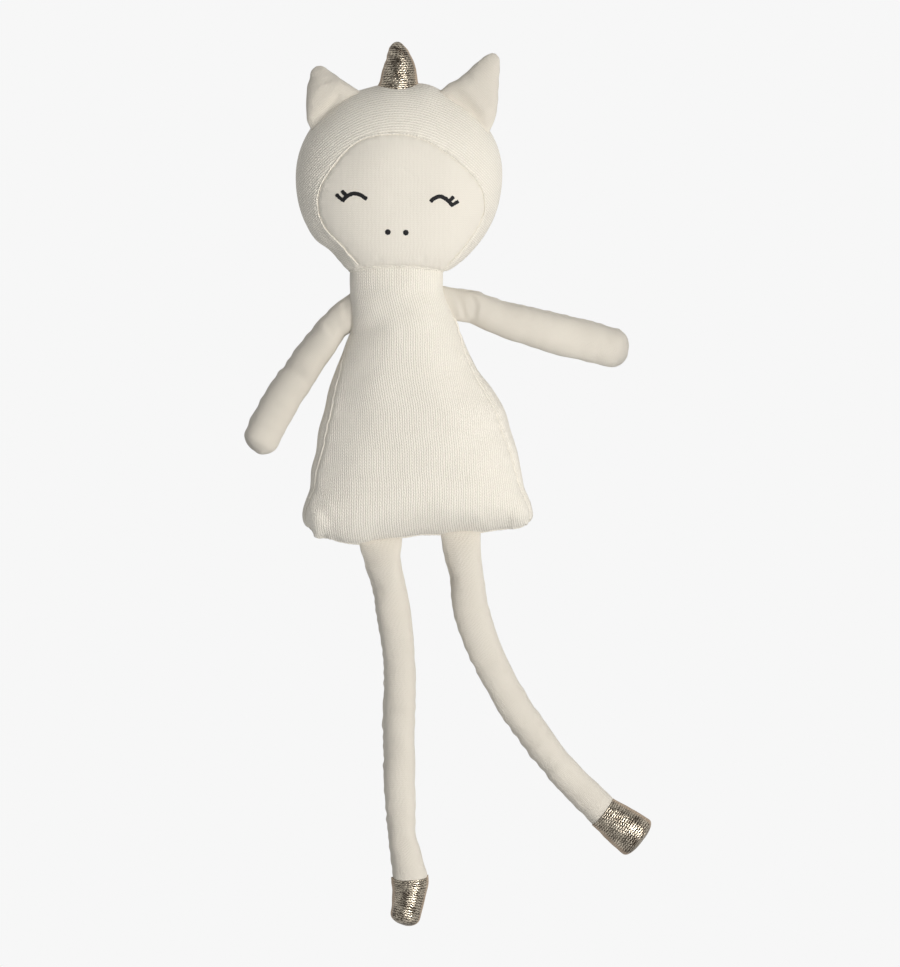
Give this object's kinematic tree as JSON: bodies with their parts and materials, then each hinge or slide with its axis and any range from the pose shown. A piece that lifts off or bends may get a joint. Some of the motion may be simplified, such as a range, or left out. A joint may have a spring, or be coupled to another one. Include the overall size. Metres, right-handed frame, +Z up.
{
  "type": "plush unicorn doll",
  "caption": "Limp knitted unicorn rag doll lying on its back, with stuffed head, ears, horn, body, arms and long jointed legs in gold cloth hooves.",
  "frame": {"origin": "middle of the doll on the surface it lies on", "axes": "+Y from hooves to horn, +Z up out of the surface and out of the face, +X to the right as seen from the front"},
  "size_m": [0.22, 0.4798, 0.07],
  "materials": {
    "coarse_knit": "cream cotton knit with upright ribs of coarse loops, matt",
    "fine_knit": "cream fine cotton knit, matt",
    "gold_cloth": "gold metallic knit cloth, fine cross ribs, bright sheen",
    "fibre_filling": "white polyester fibre filling",
    "seam_thread": "raised cream seam",
    "embroidery_thread": "black satin stitch"
  },
  "bodies": {
    "torso": {"body_front_panel": "coarse_knit", "body_back_panel": "coarse_knit", "body_stuffing": "fibre_filling", "left_side_seam": "seam_thread", "right_side_seam": "seam_thread", "hem_seam": "seam_thread", "left_arm_tab": "fine_knit", "right_arm_tab": "fine_knit", "left_leg_tab": "fine_knit", "right_leg_tab": "fine_knit"},
    "neck": {"neck_cover": "coarse_knit", "neck_stuffing": "fibre_filling", "neck_seam": "coarse_knit"},
    "head": {"face_panel": "fine_knit", "hood_panel": "coarse_knit", "head_back_panel": "coarse_knit", "head_stuffing": "fibre_filling", "face_seam": "seam_thread", "left_eye_stitching": "embroidery_thread", "right_eye_stitching": "embroidery_thread", "left_nostril_stitching": "embroidery_thread", "right_nostril_stitching": "embroidery_thread"},
    "horn": {"horn_cover": "gold_cloth", "horn_stuffing": "fibre_filling"},
    "left_ear": {"left_ear_front": "fine_knit", "left_ear_back": "fine_knit", "left_ear_stuffing": "fibre_filling"},
    "left_shoulder": {"left_arm_root": "fine_knit"},
    "left_arm": {"left_arm_cover": "fine_knit", "left_arm_stuffing": "fibre_filling"},
    "left_hip": {"left_leg_root": "fine_knit"},
    "left_thigh": {"left_upper_leg_cover": "fine_knit", "left_upper_leg_stuffing": "fibre_filling"},
    "left_shin": {"left_lower_leg_cover": "fine_knit", "left_lower_leg_stuffing": "fibre_filling", "left_hoof_cover": "gold_cloth", "left_hoof_stuffing": "fibre_filling"},
    "right_ear": {"right_ear_front": "fine_knit", "right_ear_back": "fine_knit", "right_ear_stuffing": "fibre_filling"},
    "right_shoulder": {"right_arm_root": "fine_knit"},
    "right_arm": {"right_arm_cover": "fine_knit", "right_arm_stuffing": "fibre_filling"},
    "right_hip": {"right_leg_root": "fine_knit"},
    "right_thigh": {"right_upper_leg_cover": "fine_knit", "right_upper_leg_stuffing": "fibre_filling"},
    "right_shin": {"right_lower_leg_cover": "fine_knit", "right_lower_leg_stuffing": "fibre_filling", "right_hoof_cover": "gold_cloth", "right_hoof_stuffing": "fibre_filling"}
  },
  "joints": [
    {"name": "head_turn", "type": "hinge", "parent": "torso", "child": "neck", "pos_m": [-0.0279, 0.1053, 0.033], "axis": [0, 1, 0], "range_deg": [-60, 60]},
    {"name": "head_nod", "type": "hinge", "parent": "neck", "child": "head", "pos_m": [-0.0274, 0.1163, 0.035], "axis": [1, 0, 0], "range_deg": [-20, 30], "deforming": ["neck_seam"]},
    {"name": "left_ear_fold", "type": "hinge", "parent": "head", "child": "left_ear", "pos_m": [-0.06385, 0.20575, 0.035], "axis": [0.7923, 0.6102, 0], "range_deg": [-30, 30], "stiffness_Nm_per_rad": 0.02},
    {"name": "right_ear_fold", "type": "hinge", "parent": "head", "child": "right_ear", "pos_m": [0.01115, 0.20485, 0.035], "axis": [0.775, -0.632, 0], "range_deg": [-30, 30], "stiffness_Nm_per_rad": 0.02},
    {"name": "horn_tilt", "type": "hinge", "parent": "head", "child": "horn", "pos_m": [-0.0272, 0.2177, 0.035], "axis": [1, 0, 0], "range_deg": [-15, 15], "stiffness_Nm_per_rad": 0.02},
    {"name": "left_arm_swing", "type": "hinge", "parent": "torso", "child": "left_shoulder", "pos_m": [-0.06056, 0.08801, 0.02976], "axis": [0, 0, -1], "range_deg": [-12, 90]},
    {"name": "left_arm_lift", "type": "hinge", "parent": "left_shoulder", "child": "left_arm", "pos_m": [-0.06056, 0.08801, 0.02976], "axis": [-0.7629, 0.6466, 0], "range_deg": [-45, 90]},
    {"name": "right_arm_swing", "type": "hinge", "parent": "torso", "child": "right_shoulder", "pos_m": [0.01101, 0.09633, 0.03001], "axis": [0, 0, 1], "range_deg": [-40, 60]},
    {"name": "right_arm_lift", "type": "hinge", "parent": "right_shoulder", "child": "right_arm", "pos_m": [0.01101, 0.09633, 0.03001], "axis": [-0.2911, -0.9567, 0], "range_deg": [-45, 90]},
    {"name": "left_leg_swing", "type": "hinge", "parent": "torso", "child": "left_hip", "pos_m": [-0.03504, -0.0442, 0.019], "axis": [0, 0, 1], "range_deg": [-25, 25]},
    {"name": "left_leg_lift", "type": "hinge", "parent": "left_hip", "child": "left_thigh", "pos_m": [-0.03504, -0.0442, 0.019], "axis": [-0.9661, -0.2582, 0], "range_deg": [-30, 90]},
    {"name": "left_knee_bend", "type": "hinge", "parent": "left_thigh", "child": "left_shin", "pos_m": [-0.02746, -0.1247, 0.01848], "axis": [0.9997, -0.0234, 0], "range_deg": [0, 70]},
    {"name": "right_leg_swing", "type": "hinge", "parent": "torso", "child": "right_hip", "pos_m": [0.00783, -0.03866, 0.01907], "axis": [0, 0, 1], "range_deg": [-25, 25]},
    {"name": "right_leg_lift", "type": "hinge", "parent": "right_hip", "child": "right_thigh", "pos_m": [0.00783, -0.03866, 0.01907], "axis": [-0.988, -0.1543, 0], "range_deg": [-30, 90]},
    {"name": "right_knee_bend", "type": "hinge", "parent": "right_thigh", "child": "right_shin", "pos_m": [0.0349, -0.11982, 0.01852], "axis": [0.845, 0.5347, 0], "range_deg": [0, 70]}
  ]
}
